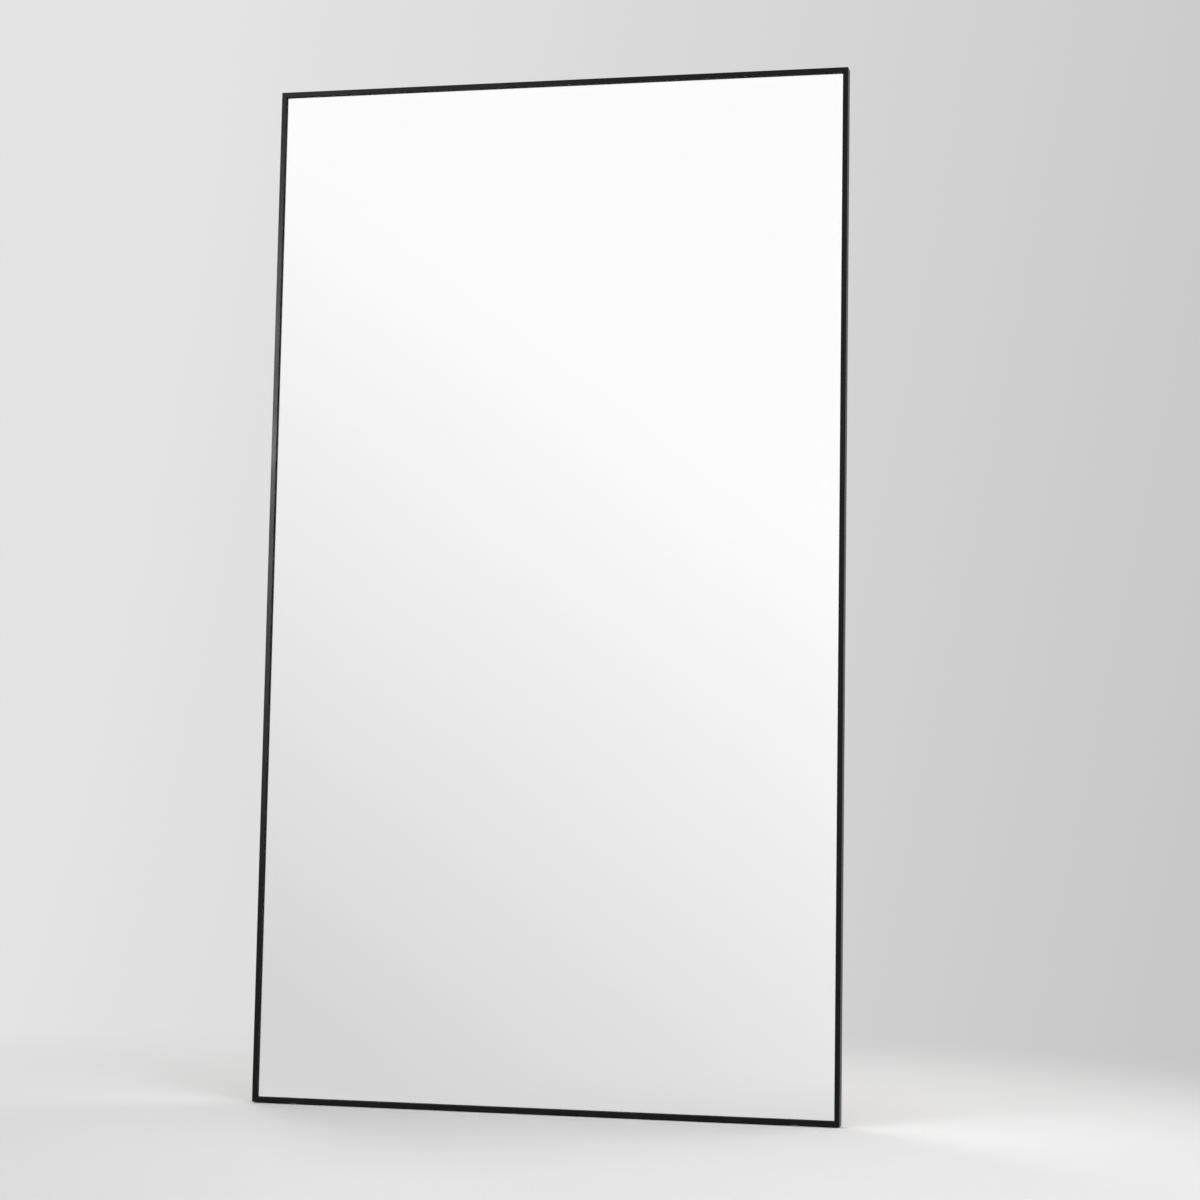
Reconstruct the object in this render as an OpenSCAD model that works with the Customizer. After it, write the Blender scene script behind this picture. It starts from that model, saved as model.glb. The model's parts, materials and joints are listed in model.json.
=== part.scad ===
// Full-length floor mirror with a slim black metal frame.
// X runs along the width, Y from front to back and Z up. The origin is on the floor, in the
// middle of the width and of the depth.

/* [Frame] */
// Width over the frame
frame_w = 1200; // [700:1:1600]
// Height of the frame without its feet
frame_h = 2100; // [1500:1:2400]
// Depth of the frame from its front face to its back edge
frame_d = 30; // [29:0.5:60]
// Width of the narrow face seen from the front
face_w = 10.5; // [8:0.5:20]
// Thickness of that face
face_t = 2; // [1.2:0.1:4]
// Thickness of the outer wall
wall_t = 1.6; // [1.2:0.1:3]
// Chamfer on the edges of the front face
arris = 0.5; // [0.2:0.1:0.8]
// Reach of the inner web that the brackets and bars are screwed to, from the outer face
web_w = 26; // [24:0.5:40]
// Thickness of the web
web_t = 2; // [1.2:0.1:4]
// Width of the lip along the back edge
rear_lip_w = 10.5; // [5:0.5:12]
// Thickness of that lip
rear_lip_t = 1.6; // [1.2:0.1:3]

/* [Pane] */
// Thickness of the glass
glass_t = 4; // [3:0.5:6]
// Gap between the edge of the glass and the outer wall, filled below by the setting blocks
edge_gap = 1.9; // [1:0.1:4]
// Gap between the glass and its silver coat
coat_gap = 0.05; // [0.02:0.01:0.1]
// Thickness of the silver coat and its paint
coat_t = 0.15; // [0.1:0.05:0.4]
// Thickness of the safety film
film_t = 0.2; // [0.1:0.05:0.5]
// How far the film stops short of the edge of the glass
film_margin = 1.5; // [0.5:0.5:5]
// Thickness of the foam tape in front of the glass
tape_t = 1.6; // [0.8:0.1:3]
// How far the tape stops short of the edge of the front face, out of sight
tape_setback = 1; // [0.5:0.5:2]
// Length of one setting block
setting_len = 60; // [20:1:120]
// Distance between the middles of the two setting blocks
setting_pitch = 600; // [200:1:640]

/* [Back] */
// Thickness of the backing board
board_t = 4; // [2:0.5:6]
// Thickness of the packing strips behind the board
packer_t = 2; // [1:0.1:6]
// Width of the packing strips
packer_w = 10; // [6:0.5:12]

/* [Corner brackets] */
// Length of each leg of a bracket
bracket_leg = 100; // [85:1:180]
// Width of each leg
bracket_w = 15; // [11:0.5:15]
// Thickness of a bracket
bracket_t = 3; // [2:0.5:5]
// Distance between the two screws of a leg
bracket_screw_gap = 50; // [20:1:55]
// Distance from the outer screw to the end of the leg
bracket_end = 15; // [8:1:20]

/* [Bars] */
// Height of the two flat bars across the back
bar_w = 60; // [56:1:100]
// Thickness of the bars
bar_t = 5; // [3:0.5:6]
// Height of the middle of the hanging bar above the bottom of the frame
hanging_bar_z = 1700; // [1000:1:1800]
// Height of the middle of the brace bar above the bottom of the frame
brace_bar_z = 640; // [300:1:900]
// Gap between the end of a bar and the lip along the back edge
bar_end_gap = 0.5; // [0.2:0.1:2]
// Distance between the two screws at the end of a bar
bar_screw_gap = 34; // [15:1:40]
// Width of a foam pad between a bar and the board
pad_w = 60; // [20:1:120]
// Height of a foam pad
pad_h = 30; // [15:1:56]
// Distance between the middles of the two pads of a bar
pad_pitch = 500; // [100:1:560]

/* [Hangers] */
// Distance between the middles of the two hangers
hanger_pitch = 760; // [300:1:1000]
// Width of a strap
strap_w = 14; // [10:0.5:18]
// Thickness of a strap
strap_t = 1.5; // [1:0.1:2.5]
// Length of a strap from the middle of its eye to its lower end
strap_len = 53; // [46:1:56]
// Distance from the middle of the eye to the first screw
strap_screw_z = 32; // [30:1:34]
// Distance between the two screws of a strap
strap_screw_gap = 13; // [8:0.5:14]
// Distance from the top of the hanging bar to the middle of the eye
eye_drop = 4; // [3.5:0.5:6]
// Diameter of the wire of a ring
wire_d = 3.6; // [2.5:0.1:4]
// Running clearance between the wire and its eye, on the radius
wire_play = 0.08; // [0.02:0.01:0.1]
// Inner width of a ring
ring_w = 22; // [20:0.5:24]
// Inner length of a ring, from the middle of its straight side
ring_len = 22; // [19:0.5:23]
// Bend radius of the wire at the corners of a ring, to its middle
ring_bend = 3; // [2.5:0.5:5]
// Gap between a hanging ring and its strap
ring_gap = 0.9; // [0.5:0.1:1.2]

/* [Screws] */
// Diameter of the screws
screw_d = 4; // [3:0.5:5]
// Clearance of a screw in a tapped hole, on the radius
tapped_play = 0.05; // [0.02:0.01:0.1]
// Clearance of a screw in a drilled hole, on the radius
drilled_play = 0.2; // [0.1:0.05:0.4]
// Diameter of a screw head
head_d = 7.6; // [6:0.1:9]
// Height of a screw head
head_h = 2.4; // [1.8:0.1:3.5]
// Length of the cross in a screw head
cross_len = 4.2; // [3:0.1:5]
// Width of the arms of the cross
cross_w = 0.9; // [0.6:0.1:1.5]
// Depth of the cross
cross_deep = 1.3; // [0.5:0.1:1.6]

/* [Feet and bumpers] */
// Thickness of the clear feet under the bottom rail
foot_t = 2; // [1:0.5:5]
// Width of a foot, seen from the front
foot_w = 12; // [8:0.5:30]
// Distance from the front face or the back edge of the frame to the end of a foot
foot_setback = 0.5; // [0.5:0.5:6]
// Radius of the corners of a foot
foot_round = 2; // [0.5:0.5:3.5]
// Distance from the end of the frame to the middle of a foot
foot_inset = 88; // [20:1:200]
// Thickness of the rubber dots on the back edge
bumper_t = 2; // [1:0.5:4]
// Diameter of a dot
bumper_d = 9; // [6:0.5:10]
// Distance from the top or bottom of the frame to the middle of a dot
bumper_inset = 60; // [30:1:200]

/* [Hidden] */
$fn = 48;
over = 1; // how far a cut runs past the face that it opens

// Depths, measured back from the front face of the frame
glass_y = face_t + tape_t;
coat_y = glass_y + glass_t + coat_gap;
film_y = coat_y + coat_t;
board_y = film_y + film_t;
packer_y = board_y + board_t;
web_y = packer_y + packer_t;
web_back = web_y + web_t;
bar_back = web_back + bar_t;
eye_rise = strap_t + ring_gap + wire_d / 2;

// Insets, measured in from the outer face of the frame
pane_in = wall_t + edge_gap;
tape_in = face_w - tape_setback;
land_mid = (rear_lip_w + web_w) / 2;
packer_in = land_mid - packer_w / 2;
bracket_in = land_mid - bracket_w / 2;
bracket_out = bracket_in + bracket_leg;
bar_in = rear_lip_w + bar_end_gap;
screw_far = bracket_out - bracket_end;
screw_near = screw_far - bracket_screw_gap;

// Places in the mirror's own frame
front = -(frame_d + bumper_t) / 2;
mid_z = foot_t + frame_h / 2;
eye_z = hanging_bar_z + bar_w / 2 - eye_drop;
wire_r = wire_d / 2;
ring_r = ring_w / 2 + wire_r;
eye_r = wire_r + wire_play;
eye_out = eye_r + strap_t;

// Moves a shape from the lower left corner of the front face to its place
module from_corner() translate([-frame_w / 2, front, foot_t]) children();

// Shows a shape that is drawn for the left half at the left or, mirrored, at the right
module side(right = false) mirror([right ? 1 : 0, 0, 0]) children();

// Shows a shape that is drawn for the lower left corner at any of the four corners
module corner(right = false, top = false)
    translate([0, 0, top ? 2 * mid_z : 0])
        mirror([0, 0, top ? 1 : 0]) side(right) from_corner() children();

// Section of the extrusion: first inwards from the outer face, then back from the front face
module section()
    polygon([
        [0, arris], [arris, 0], [face_w - arris, 0], [face_w, arris], [face_w, face_t],
        [wall_t, face_t], [wall_t, web_y], [web_w, web_y], [web_w, web_back],
        [wall_t, web_back], [wall_t, frame_d - rear_lip_t],
        [rear_lip_w, frame_d - rear_lip_t], [rear_lip_w, frame_d], [0, frame_d]
    ]);

// One length of the extrusion, lying along X from 0 with its outer face down and mitred ends
module mitred_length(len) {
    reach = max(web_w, face_w, rear_lip_w) + over;
    intersection() {
        rotate([90, 0, 90]) linear_extrude(len) mirror([1, -1]) section();
        translate([0, frame_d + over, 0]) rotate([90, 0, 0]) linear_extrude(frame_d + 2 * over)
            polygon([[-over, -over], [len + over, -over], [len - reach, reach], [reach, reach]]);
    }
}

// Round hole through a plate that lies against the plane y, with its axis from front to back
module through(x, z, y, t, r)
    translate([x, y - over, z]) rotate([-90, 0, 0]) cylinder(r = r, h = t + 2 * over);

// Tapped holes of the two corner brackets in a length of the frame
module bracket_taps(len)
    for (x = [screw_near, screw_far, len - screw_near, len - screw_far])
        through(x, land_mid, web_y, web_t, screw_d / 2 + tapped_play);

module rail() difference() {
    mitred_length(frame_w);
    bracket_taps(frame_w);
}

module stile() difference() {
    mitred_length(frame_h);
    bracket_taps(frame_h);
    for (z = [hanging_bar_z, brace_bar_z], s = [-1, 1])
        through(frame_h - z + s * bar_screw_gap / 2, land_mid, web_y, web_t,
            screw_d / 2 + tapped_play);
}

// The rail is drawn at the bottom, and turned half round for the top
module rail_at(top) color("#1b1c1e")
    translate([0, 0, top ? 2 * mid_z : 0]) mirror([0, 0, top ? 1 : 0]) from_corner() rail();

// A stile is a length stood on end, with its start at the top of the frame
module stile_at(right) color("#1b1c1e")
    side(right) translate([-frame_w / 2, front, foot_t + frame_h]) rotate([0, 90, 0]) stile();

// Flat sheet inside the frame, from depth y, with its edges an inset away from the outer faces
module sheet(inset, y, t)
    translate([inset - frame_w / 2, front + y, foot_t + inset])
        cube([frame_w - 2 * inset, t, frame_h - 2 * inset]);

module mirror_glass() color("#cfdcd6") sheet(pane_in, glass_y, glass_t);
module silvering() color("#c9ccce") sheet(pane_in, coat_y, coat_t);
module safety_film() color("#8d9aa6") sheet(pane_in + film_margin, film_y, film_t);
module backing_board() color("#8a6a48") sheet(pane_in, board_y, board_t);

// Strip along the top or bottom, between two insets
module flat_strip(top, inner, outer, y, t)
    translate([outer - frame_w / 2, front + y, top ? foot_t + frame_h - inner : foot_t + outer])
        cube([frame_w - 2 * outer, t, inner - outer]);

// Strip along the left or right that ends against the strips above and below it
module tall_strip(right, inner, outer, y, t)
    side(right) translate([outer - frame_w / 2, front + y, foot_t + inner])
        cube([inner - outer, t, frame_h - 2 * inner]);

module front_tape_flat(top) color("#161616") flat_strip(top, tape_in, pane_in, face_t, tape_t);
module front_tape_tall(right) color("#161616") tall_strip(right, tape_in, pane_in, face_t, tape_t);

module rear_packer_flat(top) color("#3a3a3a")
    flat_strip(top, packer_in + packer_w, packer_in, packer_y, packer_t);
module rear_packer_tall(right) color("#3a3a3a")
    tall_strip(right, packer_in + packer_w, packer_in, packer_y, packer_t);

// The blocks stand on the bottom wall and carry the glass and the board
module setting_blocks() color("#2b2b2b")
    for (s = [-1, 1])
        translate([s * setting_pitch / 2 - setting_len / 2, front + glass_y, foot_t + wall_t])
            cube([setting_len, packer_y - glass_y, edge_gap]);

module bracket() color("#b9bcc0")
    difference() {
        translate([0, web_back + bracket_t, 0]) rotate([90, 0, 0]) linear_extrude(bracket_t)
            polygon([
                [bracket_in, bracket_in], [bracket_out, bracket_in],
                [bracket_out, bracket_in + bracket_w],
                [bracket_in + bracket_w, bracket_in + bracket_w],
                [bracket_in + bracket_w, bracket_out], [bracket_in, bracket_out]
            ]);
        for (a = [screw_near, screw_far]) {
            through(a, land_mid, web_back, bracket_t, screw_d / 2 + drilled_play);
            through(land_mid, a, web_back, bracket_t, screw_d / 2 + drilled_play);
        }
    }

// Pan-head screw with a cross, its head standing back from depth y and its shank this long
module screw(x, z, y, shank)
    translate([x, y, z]) rotate([-90, 0, 0]) difference() {
        union() {
            rotate_extrude() polygon([
                [0, 0], [head_d / 2, 0], [head_d / 2, head_h * 0.45],
                [head_d * 0.42, head_h * 0.8], [head_d * 0.25, head_h], [0, head_h]
            ]);
            translate([0, 0, -shank]) cylinder(d = screw_d, h = shank + head_h / 4);
        }
        for (a = [0, 90]) rotate([0, 0, a])
            translate([-cross_len / 2, -cross_w / 2, head_h - cross_deep])
                cube([cross_len, cross_w, cross_deep + over]);
    }

module corner_screws() color("#8f9296")
    for (right = [false, true], top = [false, true], a = [screw_near, screw_far])
        corner(right, top) {
            screw(a, land_mid, web_back + bracket_t, bracket_t + web_t);
            screw(land_mid, a, web_back + bracket_t, bracket_t + web_t);
        }

// Flat bar screwed across the two stiles, drawn from its middle
module bar() {
    half = frame_w / 2 - bar_in;
    difference() {
        translate([-half, front + web_back, -bar_w / 2]) cube([2 * half, bar_t, bar_w]);
        for (sx = [-1, 1], sz = [-1, 1])
            through(sx * (frame_w / 2 - land_mid), sz * bar_screw_gap / 2, front + web_back, bar_t,
                screw_d / 2 + drilled_play);
    }
}

// The hanging bar is tapped for the straps too
module hanging_bar() color("#a9adb0")
    difference() {
        translate([0, 0, foot_t + hanging_bar_z]) bar();
        for (s = [-1, 1], a = [strap_screw_z, strap_screw_z + strap_screw_gap])
            through(s * hanger_pitch / 2, foot_t + eye_z - a, front + web_back, bar_t,
                screw_d / 2 + tapped_play);
    }

module brace_bar() color("#a9adb0") translate([0, 0, foot_t + brace_bar_z]) bar();

module bar_screws() color("#8f9296")
    for (right = [false, true], z = [hanging_bar_z, brace_bar_z], s = [-1, 1])
        side(right) from_corner()
            screw(land_mid, z + s * bar_screw_gap / 2, bar_back, bar_t + web_t);

module bar_pads() color("#4a4a4c")
    for (z = [hanging_bar_z, brace_bar_z], s = [-1, 1])
        translate([s * pad_pitch / 2 - pad_w / 2, front + packer_y, foot_t + z - pad_h / 2])
            cube([pad_w, web_back - packer_y, pad_h]);

// Moves a hanger to the left or right end of the hanging bar, with its eye at the origin
module hanger_at(right)
    side(right) translate([-hanger_pitch / 2, front + bar_back + eye_rise, foot_t + eye_z])
        children();

// Strap whose upper end steps up from the bar and rolls round the wire
module hanger_strap(right) color("#b9bcc0")
    hanger_at(right) difference() {
        rotate([90, 0, 90]) linear_extrude(strap_w, center = true) difference() {
            union() {
                circle(r = eye_out);
                polygon([
                    [-eye_rise, -strap_len], [strap_t - eye_rise, -strap_len],
                    [strap_t - eye_rise, -2 * eye_out], [0, -eye_out], [0, 0], [-eye_out, 0],
                    [-eye_rise, -2 * eye_out]
                ]);
            }
            circle(r = eye_r);
        }
        for (a = [strap_screw_z, strap_screw_z + strap_screw_gap])
            through(0, -a, -eye_rise, strap_t, screw_d / 2 + drilled_play);
    }

// Wire ring with one straight side in the eye and a half circle below
module d_ring(right) color("#c4c7ca")
    hanger_at(right) {
        leg = ring_len + wire_r - ring_r;
        rotate([0, 90, 0]) cylinder(r = wire_r, h = 2 * (ring_r - ring_bend), center = true);
        for (s = [-1, 1]) {
            translate([s * (ring_r - ring_bend), 0, -ring_bend]) rotate([90, 0, 0])
                rotate([0, 0, s > 0 ? 0 : 90]) rotate_extrude(angle = 90)
                    translate([ring_bend, 0]) circle(r = wire_r);
            translate([s * ring_r, 0, -leg]) cylinder(r = wire_r, h = leg - ring_bend);
        }
        translate([0, 0, -leg]) rotate([-90, 0, 0]) rotate_extrude(angle = 180)
            translate([ring_r, 0]) circle(r = wire_r);
    }

module hanger_screws() color("#8f9296")
    for (right = [false, true], a = [strap_screw_z, strap_screw_z + strap_screw_gap])
        hanger_at(right) screw(0, -a, strap_t - eye_rise, strap_t + bar_t);

// Pad with rounded corners, across the depth of the bottom rail
module foot(right) color("#b8c4c4") {
    foot_len = frame_d - 2 * foot_setback;
    side(right) translate([foot_inset - frame_w / 2, front + frame_d / 2, 0])
        linear_extrude(foot_t) {
            square([foot_w, foot_len - 2 * foot_round], center = true);
            square([foot_w - 2 * foot_round, foot_len], center = true);
            for (sx = [-1, 1], sy = [-1, 1])
                translate([sx * (foot_w / 2 - foot_round), sy * (foot_len / 2 - foot_round)])
                    circle(r = foot_round);
        }
}

// Dots stuck to the back lip of the stiles
module wall_bumpers() color("#202022")
    for (right = [false, true], top = [false, true])
        corner(right, top) translate([rear_lip_w / 2, frame_d, bumper_inset])
            rotate([-90, 0, 0]) rotate_extrude() polygon([
                [0, 0], [bumper_d / 2, 0], [bumper_d / 2, bumper_t / 2],
                [bumper_d * 0.4, bumper_t], [0, bumper_t]
            ]);

rail_at(true);  // top_rail
rail_at(false);  // bottom_rail
stile_at(false);  // left_stile
stile_at(true);  // right_stile
mirror_glass();
silvering();
safety_film();
front_tape_flat(true);  // front_tape_top
front_tape_flat(false);  // front_tape_bottom
front_tape_tall(false);  // front_tape_left
front_tape_tall(true);  // front_tape_right
setting_blocks();
backing_board();
rear_packer_flat(true);  // rear_packer_top
rear_packer_flat(false);  // rear_packer_bottom
rear_packer_tall(false);  // rear_packer_left
rear_packer_tall(true);  // rear_packer_right
corner(false, true) bracket();  // corner_bracket_top_left
corner(true, true) bracket();  // corner_bracket_top_right
corner(false, false) bracket();  // corner_bracket_bottom_left
corner(true, false) bracket();  // corner_bracket_bottom_right
corner_screws();
hanging_bar();
brace_bar();
bar_screws();
bar_pads();
hanger_strap(false);  // hanger_strap_left
hanger_strap(true);  // hanger_strap_right
d_ring(false);  // d_ring_left
d_ring(true);  // d_ring_right
hanger_screws();
foot(false);  // foot_left
foot(true);  // foot_right
wall_bumpers();
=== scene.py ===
# Full-length mirror: finishes, soft strips, hangers, light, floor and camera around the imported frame
import bmesh
import bpy
import json
from math import ceil, cos, pi, radians, sin
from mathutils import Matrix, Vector


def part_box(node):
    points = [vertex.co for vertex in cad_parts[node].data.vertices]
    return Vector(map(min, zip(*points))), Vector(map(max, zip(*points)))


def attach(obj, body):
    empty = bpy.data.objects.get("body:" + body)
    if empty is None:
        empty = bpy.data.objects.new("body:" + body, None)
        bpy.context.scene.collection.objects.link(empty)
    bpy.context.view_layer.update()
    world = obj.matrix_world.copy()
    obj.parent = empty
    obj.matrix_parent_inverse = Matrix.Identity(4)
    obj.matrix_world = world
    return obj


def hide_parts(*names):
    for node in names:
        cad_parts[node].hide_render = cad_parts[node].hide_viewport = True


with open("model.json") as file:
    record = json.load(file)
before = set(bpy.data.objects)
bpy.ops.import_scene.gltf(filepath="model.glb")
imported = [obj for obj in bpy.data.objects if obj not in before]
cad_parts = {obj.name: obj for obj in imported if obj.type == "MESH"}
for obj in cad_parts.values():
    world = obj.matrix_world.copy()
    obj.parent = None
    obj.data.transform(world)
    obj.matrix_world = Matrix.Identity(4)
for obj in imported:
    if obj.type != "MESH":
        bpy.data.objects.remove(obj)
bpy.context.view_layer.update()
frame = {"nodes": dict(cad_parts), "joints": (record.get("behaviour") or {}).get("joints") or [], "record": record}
scene = bpy.context.scene
nodes = frame["nodes"]
slotOf = {row["node"]: row["material_slot"] for row in frame["record"]["subparts"]}
pivots = {joint["child"]: Vector(joint["pos_m"]) for joint in frame["joints"]}
weldDistance = 1e-5  # points that are nearer to each other than this, in metres, are one point
print("frame loaded:", len(nodes), "pieces")


# Helpers for node trees. A value that is a socket is linked, any other value is set.
nodeGrid = {"columns": 10, "across": 220, "down": 280}  # how the nodes lie in the shader editor
noiseRange = (0.3, 0.7)  # noise seldom leaves this range, so cloudy() stretches it from here to 0 and 1
noiseMiddle = (0.5, 0.5, 0.5)


def addNode(tree, kind, inputs=None, **settings):
    node = tree.nodes.new("ShaderNode" + kind)
    row, column = divmod(len(tree.nodes), nodeGrid["columns"])
    node.location = (nodeGrid["across"] * column, -nodeGrid["down"] * row)
    for name, value in settings.items():
        setattr(node, name, value)
    for name, value in (inputs or {}).items():
        if isinstance(value, bpy.types.NodeSocket):
            tree.links.new(value, node.inputs[name])
        else:
            node.inputs[name].default_value = value
    return node


def calc(tree, operation, *values):
    return addNode(tree, "Math", dict(enumerate(values)), operation=operation).outputs[0]


def vectorCalc(tree, operation, *values):
    node = addNode(tree, "VectorMath", dict(enumerate(values)), operation=operation)
    return node.outputs["Value" if operation in ("DOT_PRODUCT", "LENGTH") else "Vector"]


def remap(tree, value, low, high, toLow=0.0, toHigh=1.0, smooth=False):
    inputs = {"Value": value, "From Min": low, "From Max": high, "To Min": toLow, "To Max": toHigh}
    kind = "SMOOTHSTEP" if smooth else "LINEAR"
    return addNode(tree, "MapRange", inputs, interpolation_type=kind).outputs["Result"]


def between(tree, share, ends):
    return remap(tree, share, 0.0, 1.0, *ends)


# Sockets 6 and 7 and output 2 are the ones for colors
def mixColor(tree, mask, first, second, mode="MIX"):
    inputs = {0: mask, 6: first, 7: second}
    return addNode(tree, "Mix", inputs, data_type="RGBA", blend_type=mode).outputs[2]


def noise(tree, where, size, detail=2.0, bend=0.0):
    inputs = {"Vector": where, "Scale": 1 / size, "Detail": detail, "Distortion": bend}
    return addNode(tree, "TexNoise", inputs).outputs[0]


def cloudy(tree, where, size, detail=2.0, bend=0.0):
    return remap(tree, noise(tree, where, size, detail, bend), *noiseRange)


def axes(tree, vector):
    return addNode(tree, "SeparateXYZ", {0: vector}).outputs


def newGroup(name, inputs, outputs):
    group = bpy.data.node_groups.new(name, "ShaderNodeTree")
    for label, (kind, value) in inputs.items():
        socket = group.interface.new_socket(label, in_out="INPUT", socket_type="NodeSocket" + kind)
        if value is not None:
            socket.default_value = value
    for label, kind in outputs.items():
        group.interface.new_socket(label, in_out="OUTPUT", socket_type="NodeSocket" + kind)
    given = group.nodes.new("NodeGroupInput").outputs
    result = group.nodes.new("NodeGroupOutput").inputs
    return group, given, result


def useGroup(tree, group, **inputs):
    return addNode(tree, "Group", inputs, node_tree=group).outputs


# Tone of the empty studio in every direction: level + across * x + up * z, kept between low and high
studio = {
    "front": {"level": 0.993, "across": 0.721, "up": 0.982, "low": 0.68, "high": 1.0},
    "back": {"level": 0.578, "across": -0.477, "up": 0.10, "low": 0.56, "high": 0.775},
    "turn": 0.35,  # how gently the front of the room passes into the back
    "plainLight": 0.55,  # what the room gives to the surfaces that it lights
}


def slopedTone(tree, direction, look):
    level = calc(tree, "MULTIPLY_ADD", direction["X"], look["across"], look["level"])
    level = calc(tree, "MULTIPLY_ADD", direction["Z"], look["up"], level)
    return calc(tree, "MINIMUM", calc(tree, "MAXIMUM", level, look["low"]), look["high"])


def makeStudioTone():
    inputs = {"Direction": ("Vector", None), "Behind": ("Float", 0.0)}
    tree, given, result = newGroup("studioTone", inputs, {"Tone": "Float"})
    direction = axes(tree, vectorCalc(tree, "NORMALIZE", given["Direction"]))
    front = slopedTone(tree, direction, studio["front"])
    back = slopedTone(tree, direction, studio["back"])
    share = remap(tree, given["Behind"], -1.0, 1.0, smooth=True)
    tone = calc(tree, "MULTIPLY_ADD", share, calc(tree, "SUBTRACT", back, front), front)
    tree.links.new(tone, result["Tone"])
    return tree


# Worn edges: the mask rises where a surface turns sharply within the width, and most of all in patches
edgeWear = {
    "turned": (0.995, 0.9),  # cosines of the turns at which the wear starts and is full
    "patchRange": (0.35, 0.65), "patchShare": (0.25, 1.0), "samples": 4,
}


def makeEdgeRub():
    look = edgeWear
    inputs = {"Vector": ("Vector", None), "Width": ("Float", 0.0005), "Patch": ("Float", 40.0)}
    tree, given, result = newGroup("edgeRub", inputs, {"Mask": "Float"})
    rounded = addNode(tree, "Bevel", {"Radius": given["Width"]}, samples=look["samples"]).outputs[0]
    flat = addNode(tree, "NewGeometry").outputs["Normal"]
    turned = remap(tree, vectorCalc(tree, "DOT_PRODUCT", rounded, flat), *look["turned"])
    patches = addNode(tree, "TexNoise", {"Vector": given["Vector"], "Scale": given["Patch"]}).outputs[0]
    patches = remap(tree, patches, *look["patchRange"], *look["patchShare"])
    tree.links.new(calc(tree, "MULTIPLY", turned, patches), result["Mask"])
    return tree


# Dust that has settled on the faces that look up
dustFall = {
    "facing": (0.4, 0.95),  # upward part of the normal at which dust starts to stay, and stays best
    "driftSize": 0.09, "driftRange": (0.3, 0.6), "driftShare": (0.4, 1.0),
}


def makeDustVeil():
    look = dustFall
    inputs = {"Vector": ("Vector", None), "Amount": ("Float", 0.5), "Grain": ("Float", 900.0)}
    tree, given, result = newGroup("dustVeil", inputs, {"Mask": "Float"})
    facing = axes(tree, addNode(tree, "TexCoord").outputs["Normal"])["Z"]
    fine = {"Vector": given["Vector"], "Scale": given["Grain"], "Detail": 3.0}
    grains = remap(tree, addNode(tree, "TexNoise", fine).outputs[0], *noiseRange)
    drifts = noise(tree, given["Vector"], look["driftSize"])
    drifts = remap(tree, drifts, *look["driftRange"], *look["driftShare"])
    cover = calc(tree, "MULTIPLY", grains, drifts)
    cover = calc(tree, "MULTIPLY", cover, remap(tree, facing, *look["facing"], smooth=True))
    tree.links.new(calc(tree, "MULTIPLY", cover, given["Amount"]), result["Mask"])
    return tree


# Fine parallel streaks of rolled or drawn metal. Stretch gives the streaks to a metre along each axis.
def makeStreaks():
    inputs = {"Vector": ("Vector", None), "Stretch": ("Vector", (4.0, 900.0, 900.0))}
    tree, given, result = newGroup("rolledStreaks", inputs, {"Streak": "Float"})
    drawn = vectorCalc(tree, "MULTIPLY", given["Vector"], given["Stretch"])
    fine = addNode(tree, "TexNoise", {"Vector": drawn, "Scale": 1.0, "Detail": 4.0}).outputs[0]
    tree.links.new(remap(tree, fine, *noiseRange), result["Streak"])
    return tree


# Small flecks of several sizes, each in its own cell. Ragged is how far their outlines wander, in cells.
fleckShape = {
    "sizes": (0.2, 0.5), "core": 0.5,  # radius in cells, and the share of it that is solid
    "stirScale": 1.3,  # waves to a cell in the outlines
}


def makeFlecks():
    look = fleckShape
    inputs = {
        "Vector": ("Vector", None), "Scale": ("Float", 500.0),
        "Cover": ("Float", 0.3), "Ragged": ("Float", 0.0),
    }
    tree, given, result = newGroup("flecks", inputs, {"Mask": "Float", "Height": "Float"})
    scaled = vectorCalc(tree, "MULTIPLY", given["Vector"], given["Scale"])
    stir = addNode(tree, "TexNoise", {"Vector": scaled, "Scale": look["stirScale"], "Detail": 3.0})
    stir = vectorCalc(tree, "SUBTRACT", stir.outputs["Color"], noiseMiddle)
    stirred = vectorCalc(tree, "ADD", scaled, vectorCalc(tree, "MULTIPLY", stir, given["Ragged"]))
    cells = addNode(tree, "TexVoronoi", {"Vector": stirred, "Scale": 1.0}).outputs
    drawn = axes(tree, cells["Color"])
    chosen = calc(tree, "LESS_THAN", drawn["X"], given["Cover"])
    size = between(tree, drawn["Y"], look["sizes"])
    core = calc(tree, "MULTIPLY", size, look["core"])
    rounded = remap(tree, cells["Distance"], size, core, smooth=True)
    tree.links.new(calc(tree, "MULTIPLY", rounded, chosen), result["Mask"])
    tree.links.new(cells["Distance"], result["Height"])
    return tree


# Crossing threads, as in a woven film or the screen mark on a pressed board
def makeCrossWeave():
    inputs = {"Vector": ("Vector", None), "Threads": ("Float", 600.0)}
    tree, given, result = newGroup("crossWeave", inputs, {"Height": "Float"})
    place = axes(tree, given["Vector"])
    turns = calc(tree, "MULTIPLY", given["Threads"], 2 * pi)
    waves = [calc(tree, "SINE", calc(tree, "MULTIPLY", place[axis], turns)) for axis in ("X", "Z")]
    height = calc(tree, "MULTIPLY_ADD", calc(tree, "MULTIPLY", *waves), 0.5, 0.5)  # from 0 to 1
    tree.links.new(height, result["Height"])
    return tree


studioTone = makeStudioTone()
edgeRub = makeEdgeRub()
dustVeil = makeDustVeil()
streaks = makeStreaks()
flecks = makeFlecks()
crossWeave = makeCrossWeave()
print("shader groups made:", len(bpy.data.node_groups))


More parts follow.
